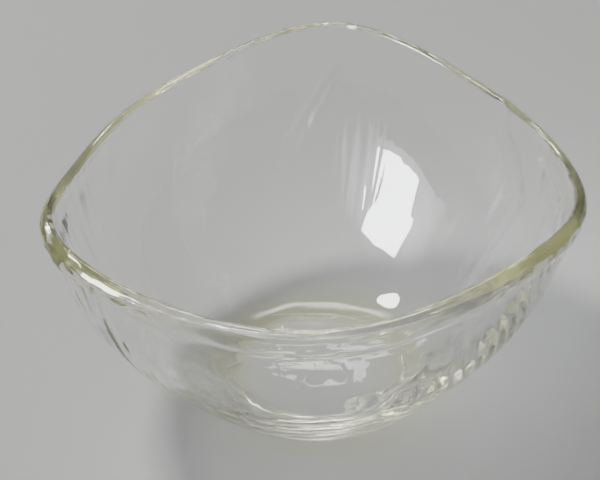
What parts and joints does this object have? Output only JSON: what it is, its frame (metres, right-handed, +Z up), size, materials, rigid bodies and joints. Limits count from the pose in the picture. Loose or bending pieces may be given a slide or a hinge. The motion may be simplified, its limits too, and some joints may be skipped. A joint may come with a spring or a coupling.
{
  "type": "art glass bowl",
  "caption": "Deep hand-blown clear glass bowl on a small flat ground foot, its round wall pulled out and up at the rim into soft corners.",
  "frame": {"origin": "on the table plane, under the middle of the bowl's outer size", "axes": "+Z up out of the bowl's mouth; -Y towards the low front stretch of rim, between the left and right corners; the back corner points to +Y"},
  "size_m": [0.1986, 0.1954, 0.1139],
  "materials": {
    "bowl": "fire-polished clear soda glass with a faint yellow-green tint in thick stretches"
  },
  "bodies": {
    "root": {"bowl": "bowl"}
  },
  "joints": []
}
